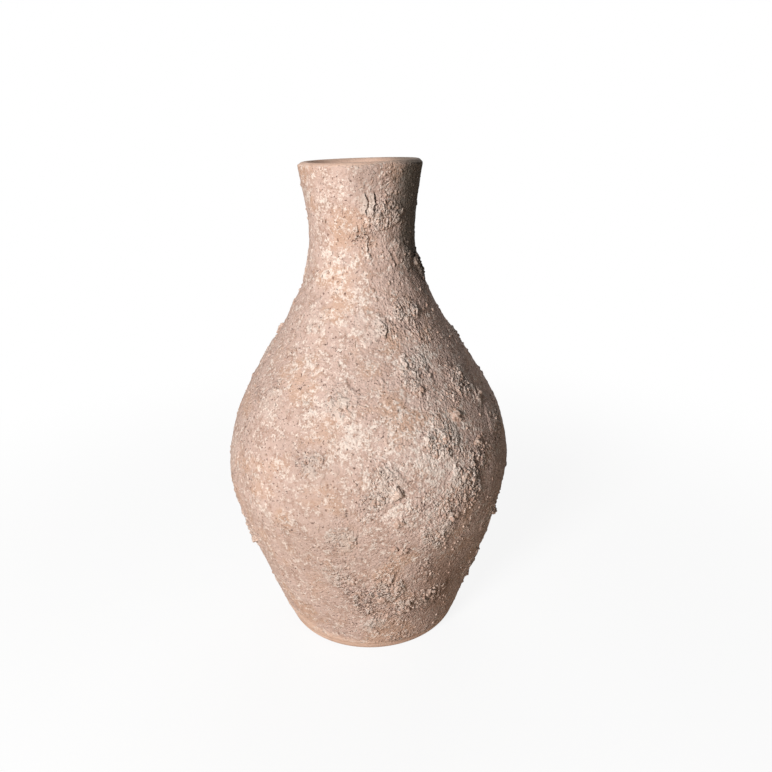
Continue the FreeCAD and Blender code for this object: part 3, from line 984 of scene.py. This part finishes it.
# %% Helpers for finishes
def paint(red, green, blue):
    """A colour as a screen shows it, turned into the linear numbers that a shader uses."""
    shares = [value / 255 for value in (red, green, blue)]
    linear = [share / 12.92 if share <= 0.04045 else ((share + 0.055) / 1.055) ** 2.4 for share in shares]
    return (*linear, 1.0)


def start_finish(name):
    """A new material with an empty node tree."""
    material = bpy.data.materials.new(name)
    material.use_nodes = True
    material.node_tree.nodes.clear()
    return material, Wire(material.node_tree)


def place_on(wire):
    return wire.add("ShaderNodeTexCoord", {}, {}, "Object")


def noise(place, grain_mm, detail=2.0, roughness=0.5):
    """Soft noise about a half, with lumps of a given grain."""
    return place.add("ShaderNodeTexNoise", {}, {"Vector": place, "Scale": 1 / (grain_mm * mm),
                                                "Detail": detail, "Roughness": roughness})


def cells(place, grain_mm):
    """Distance to scattered centres, in grains."""
    sockets = {"Vector": place, "Scale": 1 / (grain_mm * mm)}
    return place.add("ShaderNodeTexVoronoi", {}, sockets, "Distance")


def step(value, low, high):
    """Zero below low, one above high, with a soft step."""
    return value.add("ShaderNodeMapRange", {"interpolation_type": "SMOOTHSTEP"},
                     {"Value": value, "From Min": low, "From Max": high})


def mix(share, under, over):
    """One colour laid over another."""
    return share.add("ShaderNodeMix", {"data_type": "RGBA"}, {0: share, 6: under, 7: over}, 2)


def kept(wire, key):
    """A number that the mesh carries."""
    return wire.add("ShaderNodeAttribute", {"attribute_name": key}, {}, "Fac")


def close_finish(wire, colour, height_mm, roughness=0.95, gloss=0.2):
    """The surface from its colour and from the height of its finest grain in millimetres."""
    normal = wire.add("ShaderNodeBump", {}, {"Strength": 1.0, "Distance": mm, "Height": height_mm})
    surface = wire.add("ShaderNodeBsdfPrincipled", {}, {
        "Base Color": colour, "Roughness": roughness, "Specular IOR Level": gloss, "Normal": normal})
    wire.add("ShaderNodeOutputMaterial", {}, {"Surface": surface})
    print("nodes in this finish:", len(wire.tree.nodes))


print("a middle grey in linear numbers:", np.round(paint(128, 128, 128), 3))

# %% [markdown]
# Weather and handling have stained the jar in places. The lip has a small dark mark at the front and the
# left of the belly is a little greyer. The right of the neck and the lip above it are a dark greyish
# brown, partly stained and partly painted shade on the side away from the light, and the lower right is
# painted a darker brown as shade. Each spot has its middle in millimetres and two reaches, full inside
# the first and gone beyond the second. Stains run down a wall, so a spot reaches twice as far up and
# down as across. The dark of the neck, stained and shaded, lies over crust, grit and clay alike.

# %% Spots of weathering and painted shade
# Painted: the right of the neck darkened, partly stained and partly painted shade.
stained_and_shaded_neck = ((46, 0, 388), 25, 58)
smudged_lip = ((6, -52, 392), 6, 20)
# Painted shade: the lower right darkened to a brown.
shaded_lower_right = ((57, -80, 74), 6, 40)
greyed_belly = ((-34, -112, 148), 15, 60)
# The colour of the neck's dark, partly stained and partly painted shade.
neck_stain_and_shade = paint(102, 96, 88)


def spot(place, middle_mm, inner_mm, outer_mm):
    """One near a point of the jar and zero away from it."""
    away = (place - tuple(value * mm for value in middle_mm)) * (1, 1, 0.5)
    distance = away.add("ShaderNodeVectorMath", {"operation": "LENGTH"}, {0: away}, "Value")
    return 1 - step(distance, inner_mm * mm, outer_mm * mm)


print("the neck's stain is centred at a level in mm of:", stained_and_shaded_neck[0][2])

# %% [markdown]
# The crust is pinkish beige, with tan where the wash is thin, and lime bloom over it in flecks. Lime
# gathers on what stands out, and what lies low and the cracks are painted darker as shade, so the relief
# that the mesh carries also steers the colour. Dark specks are partly dark grit and partly painted shade
# of small pits. The finest grit, about a millimetre, is too small for the mesh and is bump.

# %% Crust finish
crust_finish, wire = start_finish("limed_crust")
place = place_on(wire)
rise = kept(wire, "rise")
roughened = kept(wire, "rough")
cloud = noise(place, 34, 3.0)
drift = noise(place, 11, 4.0, 0.6)
blotch = noise(place, 4.5, 5.0, 0.75)
speck = noise(place, 1.6, 3.0, 0.65)
grit = noise(place, 1.8, 2.0, 0.6)
limed = 0.15 * kept(wire, "lime") + 0.45 * (drift - 0.5)
dusted = step(cloud + 0.14 * kept(wire, "tanned") + 0.25 * (drift - 0.5), 0.5, 0.68)
colour = mix(step(drift, 0.42, 0.6), paint(206, 179, 167), paint(185, 155, 141))
colour = mix(0.65 * dusted, colour, paint(202, 165, 141))
colour = mix(0.85 * step(kept(wire, "thin") + 0.9 * (blotch - 0.5), 0.3, 0.8), colour, paint(232, 200, 180))
colour = mix(0.65 * step(blotch + limed, 0.53, 0.63), colour, paint(229, 210, 199))
colour = mix(0.85 * step(speck + 0.9 * limed + 0.8 * (blotch - 0.5), 0.56, 0.68), colour,
             paint(240, 225, 214))
colour = mix(0.5 * step(rise, 0.3, 1.1), colour, paint(232, 218, 207))
# Painted shade: what lies low on the crust, such as pits and the gaps between dabs, is painted darker.
colour = mix(0.75 * step(0 - rise, 0.4, 0.8), colour, paint(118, 90, 76))
# Dark specks, partly dark grit and partly painted shade of small pits.
colour = mix(0.9 * step(grit + 0.06 * (roughened - 0.5) - 0.25 * (drift - 0.5), 0.61, 0.66), colour,
             paint(92, 69, 59))
# Painted shade: the cracks, on the side of each torn edge away from the light, are painted dark.
colour = mix(0.9 * step(kept(wire, "crack_and_shade"), 0.35, 0.75), colour, paint(72, 54, 45))
colour = mix(0.3 * spot(place, *smudged_lip), colour, paint(120, 106, 98))
# Painted shade on the lower right, in brown.
colour = mix(0.7 * spot(place, *shaded_lower_right), colour, paint(138, 108, 90))
colour = mix(0.22 * spot(place, *greyed_belly), colour, paint(150, 128, 116))
# Painted: the ragged dark on the right of the neck, partly stained and partly painted shade.
ragged_stain_and_shade = step(spot(place, *stained_and_shaded_neck) + 1.4 * (drift - 0.5), 0.05, 0.95)
colour = mix(0.88 * ragged_stain_and_shade, colour, neck_stain_and_shade)
grain = 0.7 * noise(place, 1.6, 2.0, 0.6) + 0.6 * noise(place, 2.6, 3.0, 0.65) - 0.45 * cells(place, 1.9)
close_finish(wire, colour, grain * (1.0 + 2.4 * roughened))

# %% [markdown]
# A clod is the same clay as the crust, but each lump has a tone of its own, with pale lime and dark
# grit in it. The slip between the belts is seldom seen: it is plain, darker and even.

# %% Clod finish
clod_finish, wire = start_finish("gritty_clods")
place = place_on(wire)
tone = kept(wire, "tone")
colour = mix(step(tone, 0.2, 0.9), paint(189, 159, 143), paint(209, 184, 169))
colour = mix(0.6 * step(noise(place, 2.2, 3.0, 0.7), 0.53, 0.62), colour, paint(236, 222, 212))
colour = mix(0.6 * step(noise(place, 1.2, 2.0), 0.58, 0.68), colour, paint(124, 95, 81))
# The neck's dark, partly stained and partly painted shade, over the clods.
colour = mix(0.8 * spot(place, *stained_and_shaded_neck), colour, neck_stain_and_shade)
close_finish(wire, colour, 0.6 * noise(place, 1.1, 2.0, 0.6) + 0.5 * noise(place, 2.0))

# %% [markdown]
# Bare clay shows at the foot, on the crown of the lip and inside. It is terracotta, worked smooth by
# hand, with soft bands where fingers ran round it, a little coarse sand and a dusting of lime.

# %% Clay finish
clay_finish, wire = start_finish("bare_clay")
place = place_on(wire)
banded = place * (0.25, 0.25, 1.6)
cloud = noise(place, 30, 3.0)
band = noise(banded, 9, 3.0, 0.55)
colour = mix(step(cloud, 0.4, 0.62), paint(215, 183, 164), paint(204, 170, 151))
colour = mix(0.5 * step(band, 0.48, 0.64), colour, paint(230, 200, 182))
colour = mix(0.35 * step(noise(place, 3.0, 4.0, 0.7), 0.54, 0.68), colour, paint(230, 212, 196))
colour = mix(0.4 * step(noise(place, 1.4, 2.0), 0.62, 0.72), colour, paint(150, 112, 92))
# The neck's dark, partly stained and partly painted shade, over the bare clay.
colour = mix(0.8 * spot(place, *stained_and_shaded_neck), colour, neck_stain_and_shade)
close_finish(wire, colour, 0.5 * band + 0.3 * noise(place, 2.6, 3.0) + 0.12 * noise(place, 0.9), 0.9)

# %% Slip finish
slip_finish, wire = start_finish("dried_slip")
place = place_on(wire)
colour = mix(step(noise(place, 14, 3.0), 0.42, 0.6), paint(186, 152, 130), paint(200, 172, 152))
colour = mix(0.4 * step(noise(place, 2.5, 3.0), 0.55, 0.7), colour, paint(150, 118, 98))
close_finish(wire, colour, 0.3 * noise(place, 1.6, 3.0), 0.92)

# %% [markdown]
# Each formed piece takes the place of its piece in the frame. The coil in the corner between slab and
# wall stays as the frame draws it, with the clay's finish. The crust stands for the dabs too, because
# its relief holds them.

# %% Put every piece in its place
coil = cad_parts["inside_corner_coil"]
coil.data.materials.clear()
coil.data.materials.append(clay_finish)
for name, piece in {**belts, "base_slab": base_slab}.items():
    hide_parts(name)
    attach(piece, "root")
    piece.data.materials.append(clay_finish)
for name, piece in slips.items():
    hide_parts(name)
    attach(piece, "root")
    piece.data.materials.append(slip_finish)
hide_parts("rough_coat", "crust_dabs")
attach(crust, "root")
crust.data.materials.append(crust_finish)
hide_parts("coat_clods")
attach(clods, "root")
clods.data.materials.append(clod_finish)
print("pieces in place:", len(belts) + len(slips) + len((base_slab, crust, clods, coil)))

# %% [markdown]
# The jar stands on a plain pale floor before white. The camera sees the floor lifted nearly to white by
# Light Path, while the jar itself gets only the floor's own soft light, so no extra light falls on it.
# Close to the jar the floor keeps enough of its shade for a shadow.

# %% Floor
floor_half = 3.0
shade_reach = (0.25, 0.75)
lifted_near = 0.88
floor_mesh = bpy.data.meshes.new("floor")
floor_mesh.from_pydata([(-floor_half, -floor_half, 0), (floor_half, -floor_half, 0),
                        (floor_half, floor_half, 0), (-floor_half, floor_half, 0)], [], [(0, 1, 2, 3)])
floor = bpy.data.objects.new("floor", floor_mesh)
bpy.context.scene.collection.objects.link(floor)
floor_finish, wire = start_finish("pale_floor")
place = place_on(wire)
distance = place.add("ShaderNodeVectorMath", {"operation": "LENGTH"}, {0: place}, "Value")
seen = wire.add("ShaderNodeLightPath", {}, {}, "Is Camera Ray")
lifted = lifted_near + (1 - lifted_near) * step(distance, *shade_reach)
plain = wire.add("ShaderNodeBsdfDiffuse", {}, {"Color": paint(190, 176, 160)})
pale = wire.add("ShaderNodeBsdfDiffuse", {}, {"Color": paint(250, 250, 250)})
bright = wire.add("ShaderNodeEmission", {}, {"Color": (1, 1, 1, 1), "Strength": 1.0})
shown = wire.add("ShaderNodeMixShader", {}, {0: lifted, 1: pale, 2: bright})
surface = wire.add("ShaderNodeMixShader", {}, {0: seen, 1: plain, 2: shown})
wire.add("ShaderNodeOutputMaterial", {}, {"Surface": surface})
floor_mesh.materials.append(floor_finish)
print("floor in m:", round(floor.dimensions.x, 1), "by", round(floor.dimensions.y, 1))

# %% [markdown]
# The light in the photograph is soft and comes from the left and a little above, so the key lamp stands
# there. A wider and weaker lamp lights the back, which the photograph doesn't show, so that it can be
# looked at too. The world is nearly dark for the jar, and white where the camera looks past it.

# %% World and lamps
world = bpy.data.worlds.new("studio")
bpy.context.scene.world = world
world.use_nodes = True
world.node_tree.nodes.clear()
wire = Wire(world.node_tree)
dim = wire.add("ShaderNodeBackground", {}, {"Color": (0.85, 0.95, 1.0, 1), "Strength": 0.05})
white = wire.add("ShaderNodeBackground", {}, {"Color": (1, 1, 1, 1), "Strength": 1.0})
seen = (wire.add("ShaderNodeLightPath", {}, {}, "Is Camera Ray")
        + wire.add("ShaderNodeLightPath", {}, {}, "Is Glossy Ray")
        + wire.add("ShaderNodeLightPath", {}, {}, "Is Transmission Ray"))
background = wire.add("ShaderNodeMixShader", {}, {0: seen, 1: dim, 2: white})
wire.add("ShaderNodeOutputWorld", {}, {"Surface": background})


def lamp(name, turn_degrees, climb_degrees, distance, size, power, colour):
    """A square soft lamp that looks at the middle of the jar."""
    turn, climb = math.radians(turn_degrees), math.radians(climb_degrees)
    target = Vector((0, 0, height / 2))
    away = Vector((math.sin(turn) * math.cos(climb), -math.cos(turn) * math.cos(climb), math.sin(climb)))
    data = bpy.data.lights.new(name, "AREA")
    data.size = size
    data.energy = power
    data.color = colour
    light = bpy.data.objects.new(name, data)
    light.location = target + away * distance
    light.rotation_euler = away.to_track_quat("Z", "Y").to_euler()
    bpy.context.scene.collection.objects.link(light)
    print(name, "lamp at height in m:", round(light.location.z, 2))


lamp("key", -28, 20, 1.6, 0.42, 28.5, (1.0, 0.99, 0.98))
lamp("back", 172, 35, 1.8, 1.2, 14, (1.0, 0.99, 0.98))
bpy.context.scene.view_settings.view_transform = "Standard"
